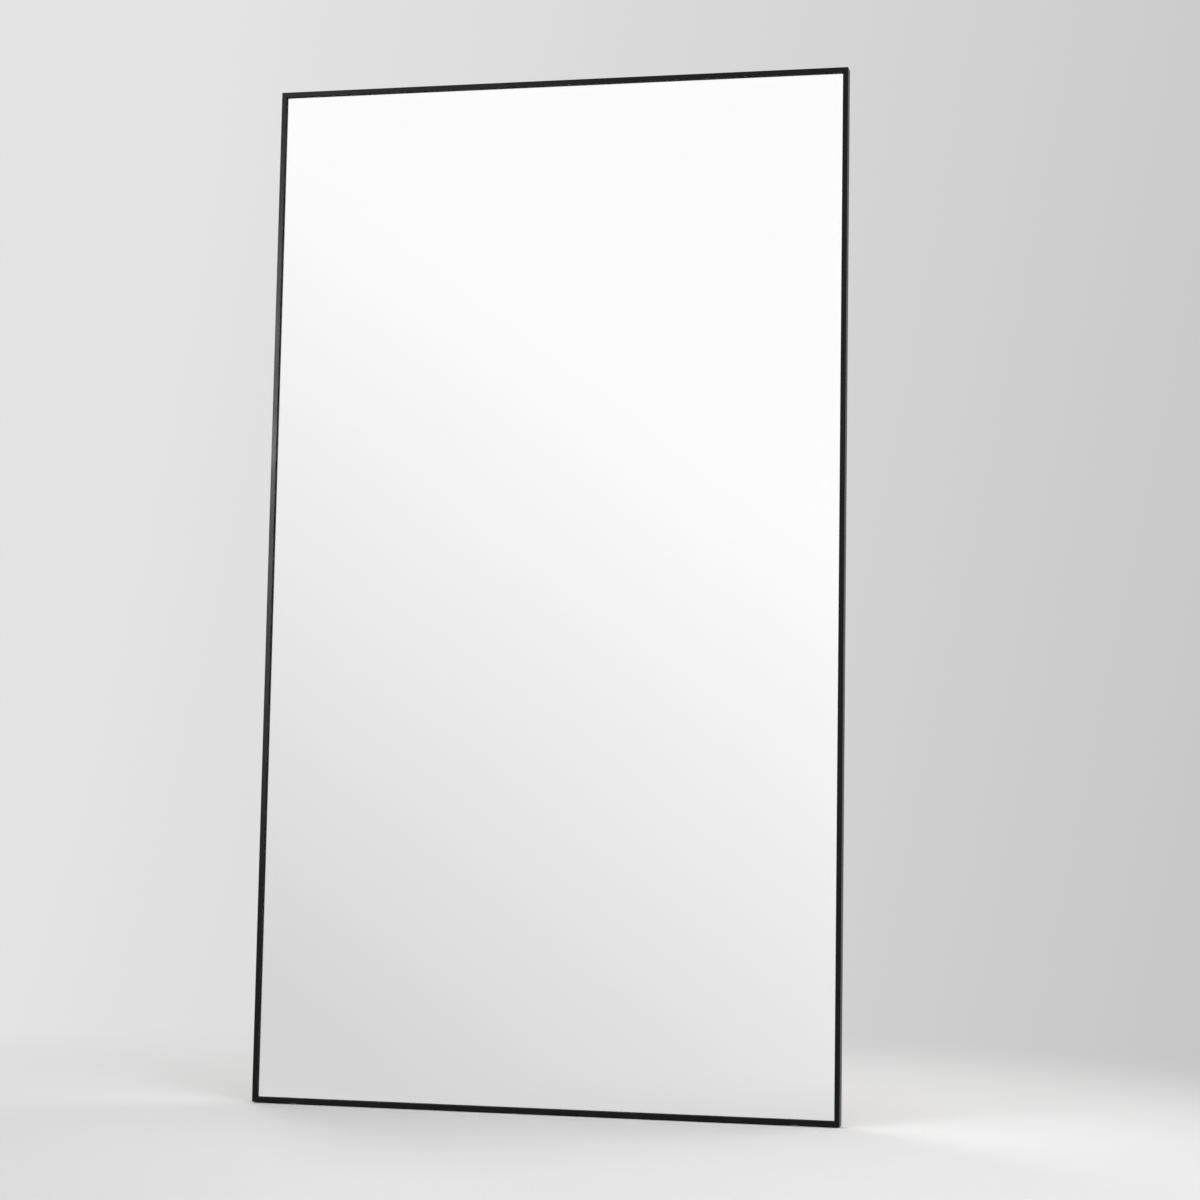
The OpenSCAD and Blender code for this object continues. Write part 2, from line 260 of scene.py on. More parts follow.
def newFinish(name, plain):
    material = bpy.data.materials.new(name)
    material.use_nodes = True
    tree = material.node_tree
    shader = tree.nodes["Principled BSDF"]
    for socket, value in plain.items():
        shader.inputs[socket].default_value = value
    return material, tree, shader, addNode(tree, "TexCoord").outputs["Object"]


def feed(tree, shader, **sockets):
    for name, socket in sockets.items():
        tree.links.new(socket, shader.inputs[name.replace("_", " ")])


def addBump(tree, shader, height, depth):
    bump = addNode(tree, "Bump", {"Strength": 1.0, "Distance": depth, "Height": height})
    tree.links.new(bump.outputs["Normal"], shader.inputs["Normal"])


# Rubs the edges and lays dust over them. Gives back the color, and the dust's mask for the roughness.
def wearAndDust(tree, where, color, look):
    rub = useGroup(tree, edgeRub, Vector=where, Width=look["rubWidth"])["Mask"]
    color = mixColor(tree, calc(tree, "MULTIPLY", rub, look["rubShare"]), color, look["rub"])
    dust = useGroup(tree, dustVeil, Vector=where, Amount=look["dustAmount"])["Mask"]
    return mixColor(tree, dust, color, look["dust"]), dust


# Satin black powder coat on the extruded frame
frameCoat = {
    "deep": (0.0015, 0.0016, 0.0018, 1), "pale": (0.0030, 0.0031, 0.0034, 1),
    "clouds": {"size": 0.14, "detail": 3.0}, "specular": 0.14, "roughness": (0.31, 0.38),
    "peel": {"size": 0.0016, "detail": 1.0}, "peelDepth": 0.000012,
    "rub": (0.020, 0.020, 0.021, 1), "rubWidth": 0.0005, "rubShare": 0.6,
    "dust": (0.16, 0.155, 0.15, 1), "dustAmount": 0.22,
}


def makeFrameCoat():
    look = frameCoat
    material, tree, shader, where = newFinish("frameCoat", {"Specular IOR Level": look["specular"]})
    clouds = cloudy(tree, where, **look["clouds"])
    color = mixColor(tree, clouds, look["deep"], look["pale"])
    color = wearAndDust(tree, where, color, look)[0]
    feed(tree, shader, Base_Color=color, Roughness=between(tree, clouds, look["roughness"]))
    addBump(tree, shader, noise(tree, where, **look["peel"]), look["peelDepth"])
    return material


# Clear float glass with a trace of green
glassLook = {
    "clear": (0.9986, 0.9990, 0.9988, 1), "green": (0.9968, 0.9977, 0.9973, 1),
    "cloudSize": 0.6, "ior": 1.52,
}


def makeGlass():
    look = glassLook
    plain = {"Transmission Weight": 1.0, "Roughness": 0.0, "IOR": look["ior"]}
    material, tree, shader, where = newFinish("floatGlass", plain)
    clouds = noise(tree, where, look["cloudSize"])
    feed(tree, shader, Base_Color=mixColor(tree, clouds, look["clear"], look["green"]))
    return material


# Silver coat behind the glass
silverLook = {
    "bright": (0.988, 0.988, 0.988, 1), "soft": (0.981, 0.981, 0.982, 1),
    "clouds": {"size": 0.5, "detail": 3.0},
}


def makeSilver():
    look = silverLook
    material, tree, shader, where = newFinish("silverCoat", {"Metallic": 1.0, "Roughness": 0.0})
    clouds = cloudy(tree, where, **look["clouds"])
    feed(tree, shader, Base_Color=mixColor(tree, clouds, look["soft"], look["bright"]))
    return material


# Woven film that would hold broken glass together
filmLook = {
    "thread": (0.34, 0.39, 0.44, 1), "gap": (0.24, 0.28, 0.33, 1), "threads": 500.0, "depth": 0.00005,
    "roughness": 0.5,
}


def makeFilm():
    look = filmLook
    material, tree, shader, where = newFinish("wovenFilm", {"Roughness": look["roughness"]})
    height = useGroup(tree, crossWeave, Vector=where, Threads=look["threads"])["Height"]
    feed(tree, shader, Base_Color=mixColor(tree, height, look["gap"], look["thread"]))
    addBump(tree, shader, height, look["depth"])
    return material


# Closed-cell foam of the tapes, packers and pads
foamLook = {
    "wall": (0.040, 0.040, 0.041, 1), "cell": (0.018, 0.018, 0.019, 1), "specular": 0.3,
    "roughness": (0.7, 0.92), "patchSize": 0.012, "cells": 2200.0, "cover": 0.75, "depth": 0.00012,
}


def makeFoam():
    look = foamLook
    material, tree, shader, where = newFinish("cellFoam", {"Specular IOR Level": look["specular"]})
    cells = useGroup(tree, flecks, Vector=where, Scale=look["cells"], Cover=look["cover"])
    patches = cloudy(tree, where, look["patchSize"])
    feed(tree, shader, Base_Color=mixColor(tree, cells["Mask"], look["wall"], look["cell"]),
         Roughness=between(tree, patches, look["roughness"]))
    addBump(tree, shader, cells["Height"], look["depth"])
    return material


# Moulded black rubber of the setting blocks and the dots on the back edge
rubberLook = {
    "deep": (0.016, 0.016, 0.017, 1), "pale": (0.045, 0.045, 0.046, 1), "specular": 0.4,
    "bloom": {"size": 0.006, "detail": 4.0}, "bloomRange": (0.45, 0.75), "roughness": (0.5, 0.72),
    "grainSize": 0.0006, "depth": 0.00004, "dust": (0.2, 0.19, 0.18, 1), "dustAmount": 0.4,
}


def makeRubber():
    look = rubberLook
    material, tree, shader, where = newFinish("mouldedRubber", {"Specular IOR Level": look["specular"]})
    bloom = remap(tree, noise(tree, where, **look["bloom"]), *look["bloomRange"])
    color = mixColor(tree, bloom, look["deep"], look["pale"])
    dust = useGroup(tree, dustVeil, Vector=where, Amount=look["dustAmount"])["Mask"]
    feed(tree, shader, Base_Color=mixColor(tree, dust, color, look["dust"]),
         Roughness=between(tree, bloom, look["roughness"]))
    addBump(tree, shader, noise(tree, where, look["grainSize"]), look["depth"])
    return material


# Pressed hardboard with its screen mark, stains, fibres and scuffs
boardLook = {
    "dark": (0.120, 0.066, 0.034, 1), "light": (0.290, 0.182, 0.104, 1), "specular": 0.35,
    "roughness": (0.55, 0.8), "grain": {"size": 0.0011, "detail": 3.0},
    "mottle": {"size": 0.009, "detail": 4.0, "bend": 0.3},
    "stains": {"size": 0.35, "detail": 4.0, "bend": 0.6}, "stainRange": (0.32, 0.68),
    "grainShare": 0.3, "mottleShare": 0.3, "stainShare": 0.4,
    "scuff": (0.33, 0.22, 0.14, 1), "scuffs": {"size": 1.0, "detail": 5.0, "bend": 1.2},
    "scuffStretch": (9.0, 1.0, 60.0), "scuffRange": (0.62, 0.72), "scuffShare": 0.35,
    "threads": 620.0, "screenDepth": 0.00006,
}

# Fibres in the board. Each sort lies its own way, and the sorts are pale and dark by turns.
fibreLook = {
    "pale": (0.43, 0.30, 0.185, 1), "burnt": (0.058, 0.031, 0.017, 1), "strength": 0.34,
    "sorts": 6, "firstWay": 0.4,  # way of the first sort, in steps from one sort to the next
    "scale": 900.0, "finer": 0.05,  # cells to a metre, and the share of them that each sort adds
    "cover": 0.17, "ragged": 0.8, "stretch": (0.24, 1.0, 1.0),  # cover is the share of cells with a fibre
}


def addFibres(tree, where, color):
    look = fibreLook
    for sort in range(look["sorts"]):
        turn = {"Vector": where, "Angle": pi * (sort + look["firstWay"]) / look["sorts"]}
        turned = addNode(tree, "VectorRotate", turn, rotation_type="Y_AXIS").outputs[0]
        turned = vectorCalc(tree, "MULTIPLY", turned, look["stretch"])
        scale = look["scale"] * (1 + look["finer"] * sort)
        shape = {"Vector": turned, "Scale": scale, "Cover": look["cover"], "Ragged": look["ragged"]}
        mask = calc(tree, "MULTIPLY", useGroup(tree, flecks, **shape)["Mask"], look["strength"])
        color = mixColor(tree, mask, color, look["burnt"] if sort % 2 else look["pale"])
    return color


def makeBoard():
    look = boardLook
    material, tree, shader, where = newFinish("pressedBoard", {"Specular IOR Level": look["specular"]})
    grain = cloudy(tree, where, **look["grain"])
    mottle = cloudy(tree, where, **look["mottle"])
    stains = remap(tree, noise(tree, where, **look["stains"]), *look["stainRange"])
    tone = calc(tree, "MULTIPLY", grain, look["grainShare"])
    tone = calc(tree, "MULTIPLY_ADD", stains, look["stainShare"], tone)
    tone = calc(tree, "MULTIPLY_ADD", mottle, look["mottleShare"], tone)
    color = addFibres(tree, where, mixColor(tree, tone, look["dark"], look["light"]))
    stretched = vectorCalc(tree, "MULTIPLY", where, look["scuffStretch"])
    scuffs = remap(tree, noise(tree, stretched, **look["scuffs"]), *look["scuffRange"])
    color = mixColor(tree, calc(tree, "MULTIPLY", scuffs, look["scuffShare"]), color, look["scuff"])
    screen = useGroup(tree, crossWeave, Vector=where, Threads=look["threads"])["Height"]
    feed(tree, shader, Base_Color=color, Roughness=between(tree, mottle, look["roughness"]))
    addBump(tree, shader, calc(tree, "ADD", screen, grain), look["screenDepth"])
    return material


metalDust = (0.42, 0.40, 0.37, 1)  # on zinc and on the bars

# Bright zinc plate, one recipe for the brackets and straps and another for the screws
zincRecipes = {
    "zincPlate": {
        "pale": (0.66, 0.68, 0.70, 1), "dull": (0.50, 0.53, 0.57, 1), "bloom": (0.62, 0.60, 0.52, 1),
        "roughness": (0.24, 0.4), "stretch": (500.0, 500.0, 12.0), "cloudSize": 0.02, "dustAmount": 0.35,
    },
    "screwZinc": {
        "pale": (0.58, 0.59, 0.61, 1), "dull": (0.38, 0.40, 0.43, 1), "bloom": (0.55, 0.52, 0.42, 1),
        "roughness": (0.26, 0.44), "stretch": (900.0, 900.0, 900.0), "cloudSize": 0.006,
        "dustAmount": 0.25,
    },
}
zincLook = {
    "cloudDetail": 3.0, "bloomSize": 2.5,  # in clouds
    "bloomRange": (0.55, 0.7), "bloomShare": (0.0, 0.6), "depth": 0.000008,
    "rub": (0.82, 0.83, 0.84, 1), "rubWidth": 0.0006, "rubShare": 0.5, "dust": metalDust,
}


def makeZinc(name):
    look = {**zincLook, **zincRecipes[name]}
    material, tree, shader, where = newFinish(name, {"Metallic": 1.0})
    streak = useGroup(tree, streaks, Vector=where, Stretch=look["stretch"])["Streak"]
    clouds = cloudy(tree, where, look["cloudSize"], look["cloudDetail"])
    color = mixColor(tree, calc(tree, "MULTIPLY", streak, clouds), look["pale"], look["dull"])
    bloom = noise(tree, where, look["cloudSize"] * look["bloomSize"])
    bloom = remap(tree, bloom, *look["bloomRange"], *look["bloomShare"])
    color, dust = wearAndDust(tree, where, mixColor(tree, bloom, color, look["bloom"]), look)
    roughness = calc(tree, "MAXIMUM", between(tree, clouds, look["roughness"]), dust)
    feed(tree, shader, Base_Color=color, Roughness=roughness)
    addBump(tree, shader, streak, look["depth"])
    return material


# Galvanised flat bar with its spangle
barLook = {
    "pale": (0.62, 0.64, 0.65, 1), "dark": (0.40, 0.42, 0.44, 1), "roughness": (0.28, 0.5),
    "spangleSize": 0.011, "wander": (0.005, 0.005, 0.005), "wanderScale": 160.0,  # of the crystals' edges
    "feather": (1100.0, 1100.0, 70.0), "stretch": (9.0, 700.0, 700.0), "depth": 0.00003,
    "crystalShare": 0.48, "featherShare": 0.36, "streakShare": 0.16,
    "rub": (0.75, 0.76, 0.77, 1), "rubWidth": 0.001, "rubShare": 0.5,
    "dust": metalDust, "dustAmount": 0.7,
}


def makeGalvanised():
    look = barLook
    material, tree, shader, where = newFinish("galvanisedBar", {"Metallic": 1.0})
    wander = addNode(tree, "TexNoise", {"Vector": where, "Scale": look["wanderScale"]}).outputs["Color"]
    shifted = vectorCalc(tree, "MULTIPLY_ADD", wander, look["wander"], where)
    cells = addNode(tree, "TexVoronoi", {"Vector": shifted, "Scale": 1 / look["spangleSize"]}).outputs
    drawn = axes(tree, cells["Color"])
    turn = {"Vector": where, "Angle": calc(tree, "MULTIPLY", drawn["X"], 2 * pi)}
    turned = addNode(tree, "VectorRotate", turn, rotation_type="Y_AXIS").outputs[0]
    feather = useGroup(tree, streaks, Vector=turned, Stretch=look["feather"])["Streak"]
    streak = useGroup(tree, streaks, Vector=where, Stretch=look["stretch"])["Streak"]
    shade = calc(tree, "MULTIPLY", drawn["Y"], look["crystalShare"])
    shade = calc(tree, "MULTIPLY_ADD", feather, look["featherShare"], shade)
    shade = calc(tree, "MULTIPLY_ADD", streak, look["streakShare"], shade)
    color, dust = wearAndDust(tree, where, mixColor(tree, shade, look["dark"], look["pale"]), look)
    roughness = calc(tree, "MAXIMUM", between(tree, shade, look["roughness"]), dust)
    feed(tree, shader, Base_Color=color, Roughness=roughness)
    addBump(tree, shader, calc(tree, "ADD", streak, cells["Distance"]), look["depth"])
    return material


# Nickel-plated wire of the rings
wireLook = {
    "bright": (0.70, 0.68, 0.64, 1), "dull": (0.50, 0.48, 0.45, 1), "roughness": (0.14, 0.3),
    "clouds": {"size": 0.004, "detail": 4.0}, "cloudRange": (0.35, 0.7),
    "grainSize": 0.0005, "depth": 0.00001,
}


def makeWire():
    look = wireLook
    material, tree, shader, where = newFinish("nickelWire", {"Metallic": 1.0})
    clouds = remap(tree, noise(tree, where, **look["clouds"]), *look["cloudRange"])
    feed(tree, shader, Base_Color=mixColor(tree, clouds, look["bright"], look["dull"]),
         Roughness=between(tree, clouds, look["roughness"]))
    addBump(tree, shader, noise(tree, where, look["grainSize"]), look["depth"])
    return material


# Clear soft rubber of the feet, with specks caught in it
clearLook = {
    "clear": (0.90, 0.95, 0.94, 1), "speck": (0.60, 0.68, 0.68, 1), "specks": 700.0, "cover": 0.3,
    "transmission": 0.85, "ior": 1.48, "roughness": (0.12, 0.3), "cloudSize": 0.003, "depth": 0.00003,
}


def makeClearRubber():
    look = clearLook
    plain = {"Transmission Weight": look["transmission"], "IOR": look["ior"]}
    material, tree, shader, where = newFinish("clearRubber", plain)
    specks = useGroup(tree, flecks, Vector=where, Scale=look["specks"], Cover=look["cover"])["Mask"]
    clouds = cloudy(tree, where, look["cloudSize"])
    feed(tree, shader, Base_Color=mixColor(tree, specks, look["clear"], look["speck"]),
         Roughness=between(tree, clouds, look["roughness"]))
    addBump(tree, shader, clouds, look["depth"])
    return material


finishes = {
    "frame_black": makeFrameCoat(),
    "glass_pane": makeGlass(),
    "mirror_coat": makeSilver(),
    "safety_film": makeFilm(),
    "foam_tape": makeFoam(),
    "rubber_black": makeRubber(),
    "hardboard": makeBoard(),
    "zinc_steel": makeZinc("zincPlate"),
    "screw_steel": makeZinc("screwZinc"),
    "bar_steel": makeGalvanised(),
    "ring_steel": makeWire(),
    "clear_rubber": makeClearRubber(),
}
for name, piece in nodes.items():
    for slot in piece.material_slots:
        slot.material = finishes[slotOf[name]]
print("finishes made:", len(finishes))


# Real edges. Every sharp edge of these pieces is rounded by its radius, in metres.
edgeRadius = {
    "top_rail": 0.00025, "bottom_rail": 0.00025, "left_stile": 0.00025, "right_stile": 0.00025,
    "corner_bracket_top_left": 0.0004, "corner_bracket_top_right": 0.0004,
    "corner_bracket_bottom_left": 0.0004, "corner_bracket_bottom_right": 0.0004,
    "hanging_bar": 0.0007, "brace_bar": 0.0007, "setting_blocks": 0.0003,
}
groundEdge = {"mirror_glass": 0.0008, "backing_board": 0.0004}  # width of the flat arris, in metres
edgeLook = {
    "flatAngle": 1, "sharpAngle": 35,  # degrees up to which faces are joined, and over which edges are cut
    "roundSteps": 2, "groundSteps": 1, "normalWeight": 100,
}


def bevelEdges(piece, width, sharpAngle, steps):
    bevel = piece.modifiers.new("edges", "BEVEL")
    bevel.width = width
    bevel.segments = steps
    bevel.limit_method = "ANGLE"
    bevel.angle_limit = radians(sharpAngle)
    bevel.use_clamp_overlap = False


def soften(piece, width, steps):
    weld = piece.modifiers.new("weld", "WELD")
    weld.merge_threshold = weldDistance
    flat = piece.modifiers.new("flat", "DECIMATE")
    flat.decimate_type = "DISSOLVE"
    flat.angle_limit = radians(edgeLook["flatAngle"])
    bevelEdges(piece, width, edgeLook["sharpAngle"], steps)


for name, radius in edgeRadius.items():
    soften(nodes[name], radius, edgeLook["roundSteps"])
    nodes[name].modifiers.new("normals", "WEIGHTED_NORMAL").weight = edgeLook["normalWeight"]
for name, width in groundEdge.items():
    soften(nodes[name], width, edgeLook["groundSteps"])
print("edges made:", len(edgeRadius) + len(groundEdge))


# Mesh helpers. A shell is a list of rings of points, joined in turn and closed at both ends.
def loftMesh(name, shells):
    build = bmesh.new()
    for rings in shells:
        loops = [[build.verts.new(point) for point in ring] for ring in rings]
        for low, high in zip(loops, loops[1:]):
            for i, vertex in enumerate(low):
                j = (i + 1) % len(low)
                build.faces.new((vertex, low[j], high[j], high[i]))
        build.faces.new(tuple(reversed(loops[0])))
        build.faces.new(tuple(loops[-1]))
    bmesh.ops.recalc_face_normals(build, faces=build.faces)
    mesh = bpy.data.meshes.new(name)
    build.to_mesh(mesh)
    build.free()
    return mesh


# Ring of points round an axis that runs from front to back
def roundRing(x, y, z, radius, sides):
    turns = [2 * pi * i / sides for i in range(sides)]
    return [Vector((x + radius * cos(turn), y, z + radius * sin(turn))) for turn in turns]


def addPiece(name, shells, body, node, sharpAngle):
    mesh = loftMesh(name, shells)
    mesh.shade_smooth()
    mesh.set_sharp_from_angle(angle=radians(sharpAngle))
    mesh.materials.append(finishes[slotOf[node]])
    piece = bpy.data.objects.new(name, mesh)
    scene.collection.objects.link(piece)
    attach(piece, body)
    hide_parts(node)
    return piece


# Boxes of the separate solids of one node, in the order of their vertices
def solidBoxes(node):
    build = bmesh.new()
    build.from_mesh(nodes[node].data)
    bmesh.ops.remove_doubles(build, verts=build.verts, dist=weldDistance)
    boxes, seen = [], set()
    for first in build.verts:
        if first in seen:
            continue
        seen.add(first)
        stack, points = [first], []
        while stack:
            vertex = stack.pop()
            points.append(vertex.co.copy())
            for edge in vertex.link_edges:
                other = edge.other_vert(vertex)
                if other not in seen:
                    seen.add(other)
                    stack.append(other)
        low = Vector(min(point[axis] for point in points) for axis in range(3))
        high = Vector(max(point[axis] for point in points) for axis in range(3))
        boxes.append((low, high))
    build.free()
    return boxes


# Foam strips: pressed between two faces, so their free sides swell and waver a little
foamStrip = {
    "swell": 0.45, "waver": 0.25,  # shares of half the thickness, and of the swell
    "wave": 0.0105, "shift": 40,  # metres along a strip for a radian, and radians for a metre across
    "step": 0.015, "leastSteps": 4, "sideSteps": 6, "sharpAngle": 40,
    "cut": 0.0004, "cutHeight": 0.8, "cutTuck": 0.02,  # at both ends, which the knife rounds
}


def foamShell(low, high):
    look = foamStrip
    size = high - low
    along, across = (0, 2) if size.x > size.z else (2, 0)
    middle = (low + high) / 2
    swell = look["swell"] * size.y / 2
    steps = max(look["leastSteps"], ceil(size[along] / look["step"]))
    stations = [(0.0, look["cutHeight"]), (look["cut"], 1.0)]
    stations += [(size[along] * i / steps, 1.0) for i in range(1, steps)]
    stations += [(size[along] - look["cut"], 1.0), (size[along], look["cutHeight"])]
    rings = []
    for distance, full in stations:
        wave = 0.5 + 0.5 * sin(distance / look["wave"] + low[across] * look["shift"])
        ring = []
        for side in (1, -1):
            for i in range(look["sideSteps"] + 1):
                angle = side * (i / look["sideSteps"] - 0.5) * pi
                point = middle.copy()
                point[along] = low[along] + distance
                reach = size[across] / 2 - swell + swell * (1 - look["waver"] * wave) * cos(angle)
                point[across] += side * reach * (1 - (1 - full) * look["cutTuck"])
                point.y += size.y / 2 * sin(angle) * full
                ring.append(point)
        rings.append(ring)
    return rings


foamNodes = [name for name in nodes if name.startswith(("front_tape", "rear_packer"))] + ["bar_pads"]
for name in foamNodes:
    shells = [foamShell(*box) for box in solidBoxes(name)]
    addPiece("foam_" + name, shells, "mirror", name, foamStrip["sharpAngle"])
print("foam strips made:", len(foamNodes))


# Clear feet: pads with rounded corners, a small radius at the floor and a fine chamfer at the rail
footLook = {
    "corner": 0.002, "leastCorner": 0.0002, "cornerSteps": 6, "edge": 0.0006, "edgeSteps": 4,
    "draft": 0.00015, "sharpAngle": 60,
}


def cornerRing(low, high, inset, z):
    look = footLook
    radius = max(look["corner"] - inset, look["leastCorner"])
    ring = []
    for quarter, (sx, sy) in enumerate(((1, 1), (-1, 1), (-1, -1), (1, -1))):
        cornerX = (high.x if sx > 0 else low.x) - sx * (inset + radius)
        cornerY = (high.y if sy > 0 else low.y) - sy * (inset + radius)
        for i in range(look["cornerSteps"] + 1):
            angle = (quarter + i / look["cornerSteps"]) * pi / 2
            ring.append(Vector((cornerX + radius * cos(angle), cornerY + radius * sin(angle), z)))
    return ring


def footShell(low, high):
    look = footLook
    rings = []
    for i in range(look["edgeSteps"] + 1):
        angle = i / look["edgeSteps"] * pi / 2
        inset = look["edge"] * (1 - sin(angle)) + look["draft"]
        rings.append(cornerRing(low, high, inset, low.z + look["edge"] * (1 - cos(angle))))
    rings.append(cornerRing(low, high, 0.0, high.z - look["draft"]))
    rings.append(cornerRing(low, high, look["draft"], high.z))
    return rings


for name in ("foot_left", "foot_right"):
    addPiece("bumper_" + name, [footShell(*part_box(name))], "mirror", name, footLook["sharpAngle"])


# Rubber dots on the back edge: low domes with a short straight rim
dotLook = {
    "rim": 0.35, "dome": 0.92,  # share of the height that is straight, and quarter turns up to the flat top
    "steps": 8, "sides": 40, "sharpAngle": 50,
}


def dotShell(low, high):
    look = dotLook
    radius, height = (high.x - low.x) / 2, high.y - low.y
    middleX, middleZ = (low.x + high.x) / 2, (low.z + high.z) / 2
    top = sin(pi / 2 * look["dome"])
    levels = [(1.0, 0.0), (1.0, look["rim"])]
    for i in range(1, look["steps"] + 1):
        angle = i / look["steps"] * pi / 2 * look["dome"]
        levels.append((cos(angle), look["rim"] + (1 - look["rim"]) * sin(angle) / top))
    return [roundRing(middleX, low.y + height * rise, middleZ, radius * share, look["sides"])
            for share, rise in levels]


dotShells = [dotShell(*box) for box in solidBoxes("wall_bumpers")]
addPiece("dots_on_back_edge", dotShells, "mirror", "wall_bumpers", dotLook["sharpAngle"])
print("feet and dots made")


# Hanger straps: one bent sheet that lies on the bar, steps back and rolls round the wire
strapLook = {
    "sheet": 0.0015, "neck": 0.009, "neckSteps": 10, "curl": 285, "curlSteps": 40,
    "corner": 0.004, "cornerSteps": 6, "hole": 0.0022, "holeSides": 32, "drillReach": 0.01,
    "edge": 0.0002, "edgeAngle": 50, "edgeSteps": 2, "sharpAngle": 40,
}


# Middle line of the sheet seen from the side, from its lower end to the end of the roll. Each point is
# (y, z, half width of the sheet there).
def strapPath(low, high, pivot):
    look = strapLook
    flatY, half = low.y + look["sheet"] / 2, (high.x - low.x) / 2
    rollRadius = high.z - pivot.z - look["sheet"] / 2
    rollY = pivot.y - rollRadius
    path = []
    for i in range(look["cornerSteps"] + 1):
        angle = i / look["cornerSteps"] * pi / 2
        z = low.z + look["corner"] * (1 - cos(angle))
        path.append((flatY, z, half - look["corner"] * (1 - sin(angle))))
    for i in range(look["neckSteps"]):
        share = i / look["neckSteps"]
        ease = share * share * (3 - 2 * share)
        path.append((flatY + (rollY - flatY) * ease, pivot.z - look["neck"] * (1 - share), half))
    for i in range(look["curlSteps"] + 1):
        angle = pi - radians(look["curl"]) * i / look["curlSteps"]
        path.append((pivot.y + rollRadius * cos(angle), pivot.z + rollRadius * sin(angle), half))
    return path


def strapShell(low, high, pivot):
    path = strapPath(low, high, pivot)
    thick, middleX = strapLook["sheet"] / 2, (low.x + high.x) / 2
    rings = []
    for i, (y, z, half) in enumerate(path):
        before, after = path[max(i - 1, 0)], path[min(i + 1, len(path) - 1)]
        along = Vector((0, after[0] - before[0], after[1] - before[1])).normalized()
        out = Vector((0, along.z, -along.y)) * thick
        centre, side = Vector((middleX, y, z)), Vector((half, 0, 0))
        rings.append([centre + side + out, centre - side + out, centre - side - out, centre + side - out])
    return rings


# Drills the screw holes through a strap from front to back, and keeps the cut mesh
def drill(piece, places):
    look = strapLook
    reaches = (-look["drillReach"], look["drillReach"])
    shells = [[roundRing(place.x, place.y + reach, place.z, look["hole"], look["holeSides"])
               for reach in reaches] for place in places]
    cutter = bpy.data.objects.new("cutter", loftMesh("cutter", shells))
    scene.collection.objects.link(cutter)
    cut = piece.modifiers.new("cut", "BOOLEAN")
    cut.object = cutter
    cut.solver = "EXACT"
    drilled = bpy.data.meshes.new_from_object(piece.evaluated_get(bpy.context.evaluated_depsgraph_get()))
    piece.modifiers.clear()
    piece.data = drilled
    bpy.data.objects.remove(cutter)


screwMiddles = [(low + high) / 2 for low, high in solidBoxes("hanger_screws")]
for side in ("left", "right"):
    name = "hanger_strap_" + side
    low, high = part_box(name)
    shell = strapShell(low, high, pivots["ring_" + side])
    strap = addPiece("bent_" + name, [shell], "mirror", name, strapLook["sharpAngle"])
    drill(strap, [middle for middle in screwMiddles if low.x < middle.x < high.x])
    bevelEdges(strap, strapLook["edge"], strapLook["edgeAngle"], strapLook["edgeSteps"])
    strap.modifiers.new("normals", "WEIGHTED_NORMAL")
print("hanger straps made")


# Camera that sees the upright mirror as the photograph sees it leaning, found from the frame's corners
cameraView = {
    "at": (1.239, -5.083, 0.594), "turn": (95.637, -1.001, 12.506),
    "framePixels": 1200, "focalPixels": 2587, "shiftPixels": -40, "sensor": 36.0,
}


def makeCamera():
    look = cameraView
    camera = bpy.data.objects.new("camera", bpy.data.cameras.new("camera"))
    camera.location = look["at"]
    camera.rotation_euler = [radians(angle) for angle in look["turn"]]
    camera.data.sensor_width = look["sensor"]
    camera.data.lens = look["sensor"] * look["focalPixels"] / look["framePixels"]
    camera.data.shift_y = look["shiftPixels"] / look["framePixels"]
    scene.collection.objects.link(camera)
    scene.camera = camera


makeCamera()
print("camera placed")


# Soft panels with grids. They light the mirror and the floor beside it, and no reflection shows them.
panels = {
    "keyPanel": {"at": (-2.4, -3.6, 2.3), "aim": (-0.4, 0.0, 1.1), "size": 1.2, "watts": 10, "spread": 80},
    "fillPanel": {"at": (3.3, -3.3, 1.9), "aim": (0.3, 0.0, 0.8), "size": 2.4, "watts": 20, "spread": 90},
    "topPanel": {"at": (0.3, -0.3, 4.4), "aim": (0.3, 0.0, 0.0), "size": 3.0, "watts": 15, "spread": 90},
    "rearKey": {"at": (-2.9, 3.6, 2.1), "aim": (0.0, 0.0, 1.1), "size": 1.8, "watts": 22, "spread": 90},
    "rearFill": {"at": (3.4, 3.2, 1.6), "aim": (0.0, 0.0, 1.1), "size": 2.4, "watts": 12, "spread": 90},
}


def aimAt(piece, at, aim):
    piece.location = at
    piece.rotation_euler = (Vector(aim) - Vector(at)).to_track_quat("-Z", "Y").to_euler()
    scene.collection.objects.link(piece)


def makePanel(name, look):
    lamp = bpy.data.lights.new(name, "AREA")
    lamp.size = look["size"]
    lamp.energy = look["watts"]
    lamp.spread = radians(look["spread"])
    panel = bpy.data.objects.new(name, lamp)
    panel.visible_camera = False
    panel.visible_glossy = False
    panel.visible_transmission = False
    aimAt(panel, look["at"], look["aim"])


for name, look in panels.items():
    makePanel(name, look)
print("panels placed:", len(panels))


# Cards that only satin and brushed surfaces see. The front one gives the left stile its sheen, and the
# rear one picks out the fittings. Sharp reflections go through them, so the glass shows an empty studio.
sheenCards = {
    "frontCard": {"at": (-2.07, -3.83, 2.0), "aim": (-0.6, 0.0, 1.4), "size": 0.6, "strength": 96},
    "rearCard": {"at": (-2.9, 3.6, 2.4), "aim": (0.0, 0.0, 1.1), "size": 1.6, "strength": 5},
}


